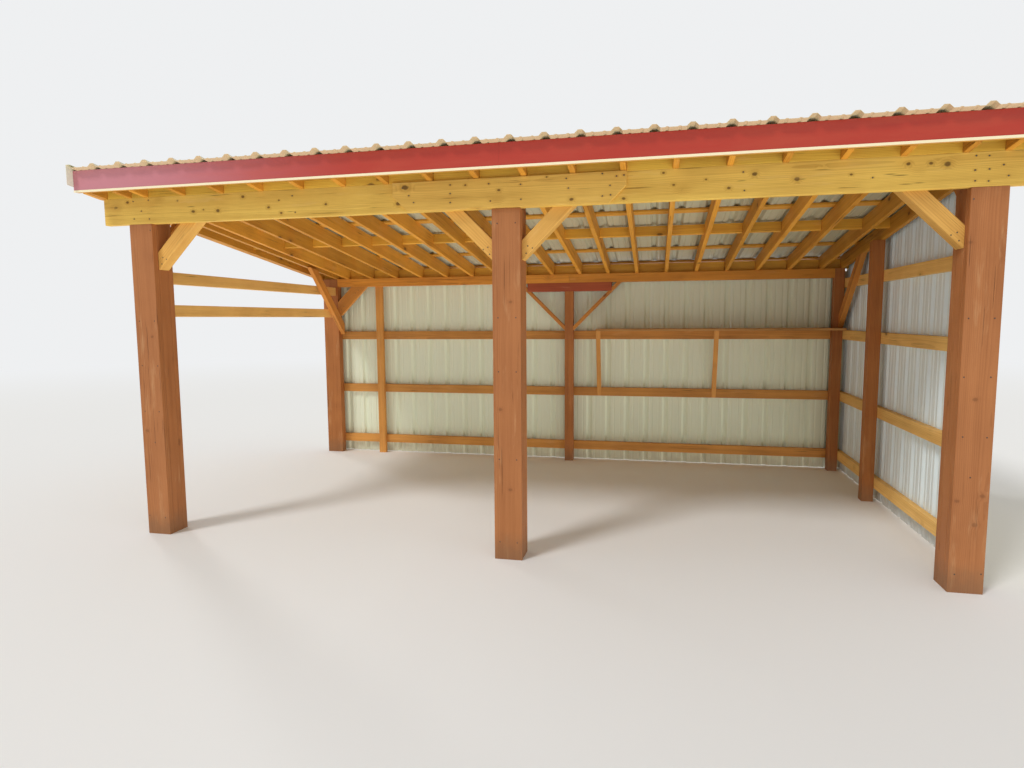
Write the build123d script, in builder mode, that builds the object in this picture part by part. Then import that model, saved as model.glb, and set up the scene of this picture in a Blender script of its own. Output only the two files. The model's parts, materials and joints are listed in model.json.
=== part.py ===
from build123d import *
import os
from math import ceil, cos, floor, hypot, pi, sin, tan

# Open-fronted log store: a two-bay pole shed with a single-pitch roof, high at the front.
# X runs along the front, Y runs to the back, Z is up, and the ground is at Z = 0.
# The origin is on the ground under the middle of the roof. All sizes are in millimetres.
# A size named "setback" is measured from the front face of the front posts to the back.

os.makedirs("parts", exist_ok=True)

# Frame
frame_length = 6096.0  # over the outer faces of the two end posts at the front
post_width = 203.0  # built-up front post, across the front
face_ply = 51.0  # front layer of a front post, which stops under the header
core_ply = 102.0  # middle layer, which runs up behind the header
back_ply = 51.0  # back layer, which also runs up
ply_joint = 0.5  # open joint between the layers
header_bottom = 2503.0
header_height = 203.0
header_overrun = 224.0  # header past the outer face of each end post
splice_length = 1640.0
splice_thickness = 25.0
splice_clip = 110.0  # the slanted cut at each lower corner
rear_beam_setback = 3379.0
rear_beam_height = 102.0
rear_post_depth = 102.0
rear_post_width = 102.0
rear_left_post_width = 203.0
rear_left_post_jut = 177.0  # its outer face past the front post's
bolster_length = 1012.0
bolster_height = 102.0
side_post_setback = 2120.0

# Roof timbers
roof_pitch = 7.33  # degrees
rafter_width = 38.0
rafter_depth = 140.0
rafter_steps = 17  # equal steps in the evenly spaced field
first_rafter_step = 150.0  # from the rafter flush with the left end post to the first of the field
last_rafter_step = 223.0  # from the last of the field to the rafter flush with the right end post
front_overhang = 193.0  # fascia face ahead of the front posts
rear_overhang = 150.0  # rafter tails past the back wall
roof_end_overhang = 80.0  # roof past each end of the header
sub_fascia_thickness = 38.0
purlin_width = 89.0
purlin_thickness = 19.0
purlin_step = 690.0  # between rows, counted forward from the last one
purlin_rows = 6  # behind the row over the sub-fascia
last_purlin_inset = 152.0  # last row's centre ahead of the rafter tails
blocking_thickness = 38.0
blocking_height = 89.0
rear_blocking_height = 105.0
midspan_setback = 1893.0

# Ribbed steel sheets
front_drip = 57.0  # roof sheet past the fascia
tail_drip = 25.0  # roof sheet past the rafter tails
sheet_thickness = 1.5
rib_pitch = 228.6
rib_height = 22.0
rib_base = 72.0
rib_top = 28.0
minor_rib_height = 4.0
minor_rib_base = 24.0
minor_rib_top = 10.0
minor_ribs = 2  # low ribs between two high ones
ribs_per_sheet = 4
lap_flat = 8.0  # a sheet's edge past the foot of its last rib
sheet_joint = 0.6  # hairline at laps and between a sheet and its timber
roof_rib_place = 81.0  # one rib's place along X, from which the others follow
wall_rib_place = 5.0
wall_foot = 8.0  # lower edge of the wall sheets above the ground

# Metal trim
trim_thickness = 1.5
fascia_hem = 16.0  # folded up outside the fascia's lower edge
rake_leg = 148.0
rake_top_leg = 36.0
corner_leg = 150.0

# Wall rails
girt_thickness = 51.0
girt_height = 102.0
foot_rail = 130.0  # height of each rail's underside
middle_rail = 800.0
upper_rail = 1490.0
left_lower_rail = 1780.0
eaves_rail = 2060.0
side_wall_setback = 130.0

# Braces, all at 45 degrees
brace_size = 102.0
brace_reach = 360.0  # post's face to the brace's lower edge, along the header
brace_lap = 130.0  # how far the brace runs up behind the header
brace_blunt = 8.0
rear_brace_width = 152.0
rear_brace_thickness = 51.0
rear_brace_reach = 410.0
rear_brace_blunt = 40.0
strut_width = 38.0
strut_thickness = 89.0
strut_cover = 13.0  # wood left under the bolster's corner, which is let into the strut
side_brace_width = 102.0
side_brace_thickness = 51.0
front_side_brace_reach = 460.0
rear_side_brace_reach = 745.0
side_brace_lap = 70.0  # where a brace is nailed to a post's side

# Back wall fittings
stud_width = 89.0
stud_thickness = 51.0
stud_inset = 547.0  # its centre from the rear left post
shelf_thickness = 25.0
shelf_depth = 305.0
shelf_left = 334.0
hanger_width = 51.0
hanger_thickness = 25.0
hanger_inset = 23.0  # hanger's top behind the shelf's front edge
first_hanger_place = 360.0
hanger_spacing = 1340.0

# Places worked out from the sizes above
pitch = roof_pitch * pi / 180
slope = tan(pitch)
frame_half = frame_length / 2
header_half = frame_half + header_overrun
roof_half = header_half + roof_end_overhang
end_post_place = frame_half - post_width / 2
header_top = header_bottom + header_height
post_depth = face_ply + core_ply + back_ply + 2 * ply_joint
rear_beam_back = rear_beam_setback + rear_post_depth
rear_girt_back = rear_beam_back + girt_thickness
side_girt_face = frame_half + girt_thickness
shelf_level = upper_rail + girt_height
sheet_depth = rib_height + sheet_thickness
back_wall_setback = rear_girt_back + sheet_joint + sheet_depth
rafter_end_setback = back_wall_setback + rear_overhang
roof_front_setback = -(front_overhang + front_drip)
roof_back_setback = rafter_end_setback + tail_drip
sub_fascia_face = -(front_overhang - trim_thickness - sheet_joint)
rafter_start_setback = sub_fascia_face + sub_fascia_thickness
rear_left_post_outer = -(frame_half + rear_left_post_jut)
beam_left = rear_left_post_outer + rear_left_post_width
beam_right = frame_half - rear_post_width

# The roof is centred on the origin from front to back
front_face = -(roof_front_setback + roof_back_setback) / 2


def back(setback):
    """Y of a setback from the front posts' face."""
    return front_face + setback


def rafter_bottom(setback):
    """Height of the rafters' undersides."""
    return header_top - slope * setback


def rafter_top(setback):
    return rafter_bottom(setback) + rafter_depth / cos(pitch)


def purlin_top(setback):
    return rafter_top(setback) + purlin_thickness / cos(pitch)


rear_beam_top = rafter_bottom(rear_beam_setback)
rear_beam_bottom = rear_beam_top - rear_beam_height
bolster_bottom = rear_beam_bottom - bolster_height


def front_plane(setback):
    """A plane facing the front, whose sketches are drawn in X and Z."""
    return Plane(origin=(0, back(setback), 0), x_dir=(1, 0, 0), z_dir=(0, -1, 0))


def side_plane(x):
    """A plane across the shed, whose sketches are drawn in Y and Z."""
    return Plane(origin=(x, 0, 0), x_dir=(0, 1, 0), z_dir=(1, 0, 0))


def save(piece, name):
    piece.part.label = name
    export_step(piece.part, f"parts/{name}.step")


def timber(x, setback, z):
    """Adds a square-cut timber between pairs of X, setback and Z."""
    with Locations(((x[0] + x[1]) / 2, back((setback[0] + setback[1]) / 2), z[0])):
        Box(
            x[1] - x[0],
            setback[1] - setback[0],
            z[1] - z[0],
            align=(Align.CENTER, Align.CENTER, Align.MIN),
        )


def outline_on(plane, points):
    """A closed outline drawn on a plane."""
    with BuildSketch(plane) as drawn:
        with BuildLine():
            Polyline(*points, close=True)
        make_face()
    return drawn.sketch


def side_cut(points, x, mode=Mode.ADD):
    """Adds a timber sawn to an outline of (setback, Z) points, between two X values."""
    outline = outline_on(side_plane(x[0]), [(back(s), z) for s, z in points])
    extrude(outline, amount=x[1] - x[0], mode=mode)


def front_cut(points, setback):
    """Adds a timber sawn to an outline of (X, Z) points, between two setbacks."""
    outline = outline_on(front_plane(setback[0]), points)
    extrude(outline, amount=setback[0] - setback[1])


def roof_strip(x, setback, height):
    """Adds a strip square to the roof, between two heights over the rafters' undersides."""
    lean = height[0] * sin(pitch)
    start = (setback[0] - lean) / cos(pitch)
    end = (setback[1] - lean) / cos(pitch)
    plane = Plane(
        origin=(0, back(0), header_top), x_dir=(1, 0, 0), z_dir=(0, sin(pitch), cos(pitch))
    )
    corners = [(x[0], start), (x[1], start), (x[1], end), (x[0], end)]
    extrude(outline_on(plane.offset(height[0]), corners), amount=height[1] - height[0])


# Front posts: three layers nailed together, with the header let into the front one
front_post_places = {"left": -end_post_place, "centre": 0.0, "right": end_post_place}
core_start = face_ply + ply_joint
core_end = core_start + core_ply
back_start = core_end + ply_joint

for side, place in front_post_places.items():
    x = (place - post_width / 2, place + post_width / 2)
    with BuildPart() as post:
        timber(x, (0, face_ply), (0, header_bottom))
        for start, end in ((core_start, core_end), (back_start, post_depth)):
            outline = [(start, 0), (end, 0), (end, rafter_bottom(end)), (start, rafter_bottom(start))]
            side_cut(outline, x)
    save(post, f"front_{side}_post")

# Header in two lengths that meet over the centre post, with a splice board on the front
for side, x in (
    ("left", (-header_half, -sheet_joint / 2)),
    ("right", (sheet_joint / 2, header_half)),
):
    with BuildPart() as header:
        timber(x, (0, face_ply), (header_bottom, header_top))
    save(header, f"front_header_{side}")

half_splice = splice_length / 2
splice_outline = [
    (-half_splice, header_top),
    (-half_splice, header_bottom + splice_clip),
    (-half_splice + splice_clip, header_bottom),
    (half_splice - splice_clip, header_bottom),
    (half_splice, header_bottom + splice_clip),
    (half_splice, header_top),
]
with BuildPart() as splice_board:
    front_cut(splice_outline, (-splice_thickness, 0))
save(splice_board, "header_splice_board")

# Rear posts, with the rear beam between the corner posts and a bolster on the centre one
rear_post_depths = (rear_beam_setback, rear_beam_back)
rear_posts = {
    "rear_left_post": ((rear_left_post_outer, beam_left), rear_beam_top),
    "rear_centre_post": ((-rear_post_width / 2, rear_post_width / 2), bolster_bottom),
    "rear_right_post": ((beam_right, frame_half), rear_beam_top),
}
for name, (x, top) in rear_posts.items():
    with BuildPart() as rear_post:
        timber(x, rear_post_depths, (0, top))
    save(rear_post, name)

for side, x in (
    ("left", (beam_left, -sheet_joint / 2)),
    ("right", (sheet_joint / 2, beam_right)),
):
    with BuildPart() as rear_beam:
        timber(x, rear_post_depths, (rear_beam_bottom, rear_beam_top))
    save(rear_beam, f"rear_beam_{side}")

with BuildPart() as bolster:
    timber(
        (-bolster_length / 2, bolster_length / 2), rear_post_depths, (bolster_bottom, rear_beam_bottom)
    )
save(bolster, "rear_bolster")

# The post halfway along the right wall, cut to the slope of the rafter on it
side_post_end = side_post_setback + rear_post_depth
with BuildPart() as side_post:
    outline = [
        (side_post_setback, 0),
        (side_post_end, 0),
        (side_post_end, rafter_bottom(side_post_end)),
        (side_post_setback, rafter_bottom(side_post_setback)),
    ]
    side_cut(outline, (frame_half - rear_post_width, frame_half))
save(side_post, "right_side_post")

# Rafters, all sawn to one pattern with a level seat over the header and one over the rear beam
end_rafter = frame_half - rafter_width / 2
first_even_rafter = first_rafter_step - end_rafter
even_step = (end_rafter - last_rafter_step - first_even_rafter) / rafter_steps
even_rafters = [first_even_rafter + even_step * i for i in range(rafter_steps + 1)]
barge_rafter = header_half - rafter_width / 2
rafter_outline = [
    (rafter_start_setback, rafter_bottom(rafter_start_setback)),
    (0, header_top),
    (face_ply, header_top),
    (face_ply, rafter_bottom(face_ply)),
    (rear_beam_setback, rear_beam_top),
    (rear_beam_back, rear_beam_top),
    (rear_beam_back, rafter_bottom(rear_beam_back)),
    (rafter_end_setback, rafter_bottom(rafter_end_setback)),
    (rafter_end_setback, rafter_top(rafter_end_setback)),
    (rafter_start_setback, rafter_top(rafter_start_setback)),
]
with BuildPart() as rafters:
    for place in [-end_rafter, *even_rafters, end_rafter]:
        side_cut(rafter_outline, (place - rafter_width / 2, place + rafter_width / 2))
save(rafters, "rafters")

# Each barge rafter is doubled: one over the header's end and one hung outside it
for side, hand in (("left", -1), ("right", 1)):
    with BuildPart() as barge:
        for start in (header_half - rafter_width, header_half + ply_joint):
            side_cut(rafter_outline, sorted((hand * start, hand * (start + rafter_width))))
    save(barge, f"barge_rafter_{side}")

# Blocking between the rafters: over the header, at midspan and over the rear beam
all_rafters = [-barge_rafter, -end_rafter, *even_rafters, end_rafter, barge_rafter]
bays = [
    (a + rafter_width / 2, b - rafter_width / 2) for a, b in zip(all_rafters, all_rafters[1:])
]
with BuildPart() as front_blocking:
    for x in bays:
        outline = [
            (0, header_top),
            (blocking_thickness, header_top),
            (blocking_thickness, rafter_top(blocking_thickness)),
            (0, rafter_top(0)),
        ]
        side_cut(outline, x)
save(front_blocking, "front_blocking")

# the sheeted wall fills the last bay on the right
with BuildPart() as midspan_blocking:
    for x in bays[:-1]:
        roof_strip(
            x,
            (midspan_setback, midspan_setback + blocking_thickness),
            (rafter_depth - blocking_height, rafter_depth),
        )
save(midspan_blocking, "midspan_blocking")

with BuildPart() as rear_blocking:
    for x in [*bays[:-1], (frame_half, side_girt_face)]:
        timber(
            x,
            (rear_beam_back - blocking_thickness, rear_beam_back),
            (rear_beam_top, rear_beam_top + rear_blocking_height),
        )
save(rear_blocking, "rear_blocking")

# Purlins laid flat across the rafters, the first of them over the sub-fascia
timber_half = roof_half - trim_thickness - sheet_joint
last_purlin = rafter_end_setback - last_purlin_inset
purlin_setbacks = [last_purlin - purlin_step * row for row in range(purlin_rows)]
with BuildPart() as purlins:
    for centre in [sub_fascia_face + purlin_width / 2, *purlin_setbacks]:
        roof_strip(
            (-timber_half, timber_half),
            (centre - purlin_width / 2, centre + purlin_width / 2),
            (rafter_depth, rafter_depth + purlin_thickness),
        )
save(purlins, "purlins")

# Sub-fascia across the rafter ends, its top planed to the roof's slope
sub_fascia_bottom = rafter_bottom(sub_fascia_face)
with BuildPart() as sub_fascia:
    outline = [
        (sub_fascia_face, sub_fascia_bottom),
        (rafter_start_setback, sub_fascia_bottom),
        (rafter_start_setback, rafter_top(rafter_start_setback)),
        (sub_fascia_face, rafter_top(sub_fascia_face)),
    ]
    side_cut(outline, (-timber_half, timber_half))
save(sub_fascia, "sub_fascia")

# Painted metal trim over the sub-fascia in two lengths, its lower edge hemmed up on the outside
trim_face = -front_overhang
hem_back = trim_face - sheet_joint
hem_face = hem_back - trim_thickness
trim_bottom = sub_fascia_bottom - sheet_joint - trim_thickness
trim_top = purlin_top(trim_face + trim_thickness)
fascia_outline = [
    (hem_face, trim_bottom),
    (trim_face + trim_thickness, trim_bottom),
    (trim_face + trim_thickness, trim_top),
    (trim_face, trim_top),
    (trim_face, trim_bottom + trim_thickness),
    (hem_back, trim_bottom + trim_thickness),
    (hem_back, trim_bottom + fascia_hem),
    (hem_face, trim_bottom + fascia_hem),
]
with BuildPart() as fascia_trim:
    for x in ((-timber_half, -sheet_joint / 2), (sheet_joint / 2, timber_half)):
        side_cut(fascia_outline, x)
save(fascia_trim, "fascia_trim")


def cut_to(points, start, end):
    """A run of (along, out) points cut off square at two places."""

    def out_at(place):
        for (a, low), (b, high) in zip(points, points[1:]):
            if a <= place <= b:
                return low + (high - low) * (place - a) / (b - a)

    inside = [point for point in points if start < point[0] < end]
    return [(start, out_at(start)), *inside, (end, out_at(end))]


def ribbed_profile(start, end, rib_place):
    """Cross-section of a ribbed sheet, flat side on the axis, as (along, out) points."""
    places = minor_ribs + 1  # rib places in one pitch, the first of them a high rib's
    step = rib_pitch / places
    first = floor((start - rib_place) / step) - 1
    last = ceil((end - rib_place) / step) + 1
    outer, inner = [], []
    for i in range(first, last + 1):
        base, top, height = (minor_rib_base, minor_rib_top, minor_rib_height)
        if i % places == 0:
            base, top, height = (rib_base, rib_top, rib_height)
        centre = rib_place + i * step
        shrink = sheet_thickness * height / (base - top)
        for offset, out in ((-base / 2, 0), (-top / 2, height), (top / 2, height), (base / 2, 0)):
            inward = -shrink if offset > 0 else shrink
            outer.append((centre + offset, out + sheet_thickness))
            inner.append((centre + offset + inward, out))
    return [*cut_to(outer, start, end), *reversed(cut_to(inner, start, end))]


def sheet_runs(start, end, rib_place):
    """Start and end of each sheet along a wall or roof, with laps beside every fourth rib."""
    width = rib_pitch * ribs_per_sheet
    lap = rib_place + rib_base / 2 + lap_flat
    lap += ceil((start + rib_pitch - lap) / width) * width
    runs = []
    while lap < end - rib_pitch:
        runs.append((start, lap - sheet_joint / 2))
        start = lap + sheet_joint / 2
        lap += width
    return [*runs, (start, end)]


# Roof sheets, laid on the purlins down the slope
with BuildPart() as roof_sheets:
    level = purlin_top(roof_front_setback) + sheet_joint
    for start, end in sheet_runs(-timber_half, timber_half, roof_rib_place):
        profile = ribbed_profile(start, end, roof_rib_place)
        section = [(x, z + level) for x, z in profile]
        extrude(
            outline_on(front_plane(roof_front_setback), section),
            amount=(roof_back_setback - roof_front_setback) / cos(pitch),
            dir=(0, cos(pitch), -sin(pitch)),
        )
save(roof_sheets, "roof_sheets")

# Rake trims over the roof's two ends, level with the tops of the ribs
rake_level = purlin_top(roof_front_setback) + sheet_joint * 2 + sheet_depth
for side, hand in (("left", -1), ("right", 1)):
    angle = [
        (hand * roof_half, rake_level + trim_thickness),
        (hand * (roof_half - rake_top_leg), rake_level + trim_thickness),
        (hand * (roof_half - rake_top_leg), rake_level),
        (hand * (roof_half - trim_thickness), rake_level),
        (hand * (roof_half - trim_thickness), rake_level + trim_thickness - rake_leg),
        (hand * roof_half, rake_level + trim_thickness - rake_leg),
    ]
    with BuildPart() as rake_trim:
        extrude(
            outline_on(front_plane(roof_front_setback), angle),
            amount=(roof_back_setback - roof_front_setback) / cos(pitch),
            dir=(0, cos(pitch), -sin(pitch)),
        )
    save(rake_trim, f"rake_trim_{side}")

# Wall sheets, fixed outside the girts with their ribs outward
wall_top = rafter_bottom(back_wall_setback) - sheet_joint
with BuildPart() as back_wall_sheets:
    for start, end in sheet_runs(rear_left_post_outer, side_girt_face, wall_rib_place):
        profile = ribbed_profile(start, end, wall_rib_place)
        section = [(x, back(rear_girt_back + sheet_joint + out)) for x, out in profile]
        extrude(outline_on(Plane.XY.offset(wall_foot), section), amount=wall_top - wall_foot)
save(back_wall_sheets, "back_wall_sheets")

with BuildPart() as right_wall_sheets:
    for start, end in sheet_runs(side_wall_setback, rear_girt_back, wall_rib_place):
        profile = ribbed_profile(start, end, wall_rib_place)
        section = [(side_girt_face + sheet_joint + out, back(y)) for y, out in profile]
        height = rafter_top(side_wall_setback) - wall_foot
        extrude(outline_on(Plane.XY.offset(wall_foot), section), amount=height)
    roof_underside = Plane(
        origin=(0, back(0), rafter_top(0) - sheet_joint),
        x_dir=(1, 0, 0),
        z_dir=(0, sin(pitch), cos(pitch)),
    )
    split(bisect_by=roof_underside, keep=Keep.BOTTOM)
save(right_wall_sheets, "right_wall_sheets")

# Corner trim where the two walls meet
corner_x = side_girt_face + sheet_joint * 2 + sheet_depth
corner_y = rear_girt_back + sheet_joint * 2 + sheet_depth
with BuildPart() as corner_trim:
    section = [
        (corner_x, back(corner_y - corner_leg)),
        (corner_x + trim_thickness, back(corner_y - corner_leg)),
        (corner_x + trim_thickness, back(corner_y + trim_thickness)),
        (corner_x - corner_leg, back(corner_y + trim_thickness)),
        (corner_x - corner_leg, back(corner_y)),
        (corner_x, back(corner_y)),
    ]
    extrude(outline_on(Plane.XY.offset(wall_foot), section), amount=wall_top - wall_foot)
save(corner_trim, "corner_trim")

# Girts: rails that the wall sheets are fixed to, and open rails on the left side
with BuildPart() as rear_girts:
    for level in (foot_rail, middle_rail, upper_rail):
        timber(
            (rear_left_post_outer, side_girt_face),
            (rear_beam_back, rear_girt_back),
            (level, level + girt_height),
        )
save(rear_girts, "rear_girts")

with BuildPart() as right_girts:
    for level in (foot_rail, middle_rail, upper_rail, eaves_rail):
        timber(
            (frame_half, side_girt_face),
            (side_wall_setback, rear_beam_back - sheet_joint),
            (level, level + girt_height),
        )
save(right_girts, "right_girts")

with BuildPart() as left_girts:
    for level in (left_lower_rail, eaves_rail):
        timber(
            (-side_girt_face, -frame_half),
            (side_wall_setback, rear_beam_setback),
            (level, level + girt_height),
        )
save(left_girts, "left_girts")


def knee_outline(post_face, hand, top, reach, width, blunt, lap=0.0):
    """A 45 degree brace from a post's face, as (X, Z) points with a blunt lower tip."""
    across = width * 2**0.5
    tip = top - reach + blunt
    points = [
        (0, tip),
        (blunt, tip),
        (reach + lap, top + lap),
        (reach + lap - across, top + lap),
        (0, top - reach + across),
    ]
    return [(post_face + hand * u, z) for u, z in points]


# Knee braces at the front posts, in line with the core layer, lapped behind the header
front_braces = {
    "front_left_brace": (-end_post_place + post_width / 2, 1),
    "front_centre_left_brace": (-post_width / 2, -1),
    "front_centre_right_brace": (post_width / 2, 1),
    "front_right_brace": (end_post_place - post_width / 2, -1),
}
for name, (face, hand) in front_braces.items():
    outline = knee_outline(
        face, hand, header_bottom, brace_reach, brace_size, brace_blunt, brace_lap
    )
    with BuildPart() as brace:
        front_cut(outline, (core_start, core_start + brace_size))
    save(brace, name)

# The back: one wide brace in the left corner, and a slim strut each side of the centre post, which
# runs up to the beam and is let in round the corner of the bolster
with BuildPart() as rear_brace:
    outline = knee_outline(
        beam_left, 1, rear_beam_bottom, rear_brace_reach, rear_brace_width, rear_brace_blunt
    )
    front_cut(outline, (rear_beam_setback, rear_beam_setback + rear_brace_thickness))
save(rear_brace, "rear_left_brace")

bolster_run = (bolster_length - rear_post_width) / 2
strut_reach = bolster_run + bolster_height + strut_cover
strut_foot = rear_beam_bottom - strut_reach
strut_shoulder = strut_foot + strut_width * 2**0.5
for side, hand in (("left", -1), ("right", 1)):
    points = [
        (0, strut_foot),
        (strut_reach, rear_beam_bottom),
        (rear_beam_bottom - strut_shoulder, rear_beam_bottom),
        (bolster_run, strut_shoulder + bolster_run),
        (bolster_run, bolster_bottom),
        (bolster_bottom - strut_shoulder, bolster_bottom),
        (0, strut_shoulder),
    ]
    outline = [(hand * (rear_post_width / 2 + u), z) for u, z in points]
    with BuildPart() as strut:
        front_cut(outline, (rear_beam_setback, rear_beam_setback + strut_thickness))
    save(strut, f"rear_{side}_strut")


def side_brace_outline(post_setback, hand, reach, lap=0.0):
    """A 45 degree brace from a post up to the rafter, as (setback, Z) points."""
    across = side_brace_width * 2**0.5

    def meet(height_at_post):
        # where a 45 degree line from the post meets the rafter's underside
        run = (rafter_bottom(post_setback) - height_at_post) / (1 + hand * slope)
        return (post_setback + hand * run, rafter_bottom(post_setback + hand * run))

    lower = rafter_bottom(post_setback + hand * reach) - reach
    return [
        (post_setback - hand * lap, lower - lap),
        meet(lower),
        meet(lower + across),
        (post_setback - hand * lap, lower + across - lap),
    ]


# Side braces under the end rafters, flush with the end posts' outer faces. The rear left one is
# nailed to the inner side of its post and the others stand against the posts' faces.
under_left = (-frame_half, side_brace_thickness - frame_half)
under_right = (frame_half - side_brace_thickness, frame_half)
front_outline = side_brace_outline(post_depth, 1, front_side_brace_reach)
rear_outline = side_brace_outline(rear_beam_setback, -1, rear_side_brace_reach)
lapped_outline = side_brace_outline(rear_beam_setback, -1, rear_side_brace_reach, side_brace_lap)
side_braces = {
    "left_front_side_brace": (front_outline, under_left),
    "left_rear_side_brace": (lapped_outline, (beam_left, beam_left + side_brace_thickness)),
    "right_front_side_brace": (front_outline, under_right),
    "right_rear_side_brace": (rear_outline, under_right),
}
for name, (outline, x) in side_braces.items():
    with BuildPart() as side_brace:
        side_cut(outline, x)
    save(side_brace, name)

# Back wall fittings: a stud under the beam, and a shelf on the top girt with two slanted hangers
stud_place = beam_left + stud_inset
with BuildPart() as rear_stud:
    timber(
        (stud_place - stud_width / 2, stud_place + stud_width / 2),
        (rear_beam_back - stud_thickness, rear_beam_back),
        (0, rear_beam_bottom),
    )
save(rear_stud, "rear_stud")

shelf_front = rear_girt_back - shelf_depth
shelf_right = frame_half - sheet_joint
shelf_outline = [
    (shelf_left, back(shelf_front)),
    (shelf_right, back(shelf_front)),
    (shelf_right, back(rear_beam_setback)),
    (beam_right, back(rear_beam_setback)),
    (beam_right, back(rear_girt_back)),
    (shelf_left, back(rear_girt_back)),
]
# the board is cut away wherever the rear right side brace comes down to it
with BuildPart() as shelf_board:
    extrude(outline_on(Plane.XY.offset(shelf_level), shelf_outline), amount=shelf_thickness)
    side_cut(rear_outline, under_right, mode=Mode.SUBTRACT)
save(shelf_board, "shelf_board")

# Each hanger is cut plumb against the middle girt and level under the shelf
hanger_top = shelf_front + hanger_inset
hanger_run = rear_beam_back - hanger_top
hanger_rise = shelf_level - middle_rail
hanger_slant = hypot(hanger_run, hanger_rise)
hanger_outline = [
    (rear_beam_back, middle_rail),
    (rear_beam_back, middle_rail + hanger_thickness * hanger_slant / hanger_run),
    (hanger_top + hanger_thickness * hanger_slant / hanger_rise, shelf_level),
    (hanger_top, shelf_level),
]
with BuildPart() as shelf_hangers:
    for place in (first_hanger_place, first_hanger_place + hanger_spacing):
        side_cut(hanger_outline, (place - hanger_width / 2, place + hanger_width / 2))
save(shelf_hangers, "shelf_hangers")
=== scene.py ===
# %% [markdown]
# # A timber log store, dressed for the camera
#
# The shed is already built to size in CAD: posts, header, rafters, girts and ribbed steel sheets, each as
# its own node. This lesson gives it the look of the real one. Boards modelled again in Blender would leave
# two models to keep alike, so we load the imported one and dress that. Every board takes its place from it,
# and nothing here moves or resizes it. All sizes and places are in metres.

import json
import math
import random

import bmesh
import bpy
from mathutils import Matrix, Vector


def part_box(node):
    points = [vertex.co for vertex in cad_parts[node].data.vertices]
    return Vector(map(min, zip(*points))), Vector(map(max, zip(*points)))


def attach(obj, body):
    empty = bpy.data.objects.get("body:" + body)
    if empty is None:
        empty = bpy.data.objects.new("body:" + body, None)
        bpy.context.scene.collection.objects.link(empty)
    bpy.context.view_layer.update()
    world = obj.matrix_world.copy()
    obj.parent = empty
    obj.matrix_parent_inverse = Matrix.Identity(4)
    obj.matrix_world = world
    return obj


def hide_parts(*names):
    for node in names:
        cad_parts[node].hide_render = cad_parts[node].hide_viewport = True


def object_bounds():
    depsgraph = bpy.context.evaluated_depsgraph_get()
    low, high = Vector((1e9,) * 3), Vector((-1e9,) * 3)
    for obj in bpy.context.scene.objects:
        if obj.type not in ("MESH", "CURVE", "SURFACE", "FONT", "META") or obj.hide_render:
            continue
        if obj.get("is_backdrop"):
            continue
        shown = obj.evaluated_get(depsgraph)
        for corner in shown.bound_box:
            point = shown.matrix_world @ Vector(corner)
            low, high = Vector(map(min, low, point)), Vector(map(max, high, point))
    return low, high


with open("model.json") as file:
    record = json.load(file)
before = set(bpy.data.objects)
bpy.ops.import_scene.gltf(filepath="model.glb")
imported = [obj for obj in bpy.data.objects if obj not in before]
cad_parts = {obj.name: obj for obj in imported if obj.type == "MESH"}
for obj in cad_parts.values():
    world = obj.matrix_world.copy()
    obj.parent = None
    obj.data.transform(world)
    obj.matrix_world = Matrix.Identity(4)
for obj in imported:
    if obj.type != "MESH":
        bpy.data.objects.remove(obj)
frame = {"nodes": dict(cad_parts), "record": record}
cad_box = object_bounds()
nodes = frame["nodes"]
random.seed(20)

front_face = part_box("front_left_post")[0].y
print("nodes:", len(nodes), "front posts' face at y =", round(front_face, 3))

# %% [markdown]
# ## Shader sums as plain sums
#
# A shader is a sum of small steps. Written node by node it is long and hard to read, so we wrap a socket in
# a small class whose +, - and * add the Math nodes for us. One method adds every other kind of node: its
# settings go in first, because some sockets appear only after them, and then its inputs. The methods below
# it only give the nodes that we use most a short name.

# %% A socket that can stand in a sum
class Tap:
    """An output socket that can be used in an expression, which then adds its own Math nodes."""

    def __init__(self, recipe, socket):
        self.recipe = recipe
        self.socket = socket

    def math(self, operation, *values):
        return self.recipe.add("Math", {"operation": operation}, dict(enumerate(values)))

    def __add__(self, other):
        return self.math("ADD", self, other)

    def __radd__(self, other):
        return self.math("ADD", other, self)

    def __sub__(self, other):
        return self.math("SUBTRACT", self, other)

    def __rsub__(self, other):
        return self.math("SUBTRACT", other, self)

    def __mul__(self, other):
        return self.math("MULTIPLY", self, other)

    def __rmul__(self, other):
        return self.math("MULTIPLY", other, self)

    def fraction(self):
        return self.math("FRACT", self)

    def smaller(self, other):
        return self.math("MINIMUM", self, other)

    def larger(self, other):
        return self.math("MAXIMUM", self, other)


print("a Tap knows +, -, *, fraction, smaller and larger")

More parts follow.
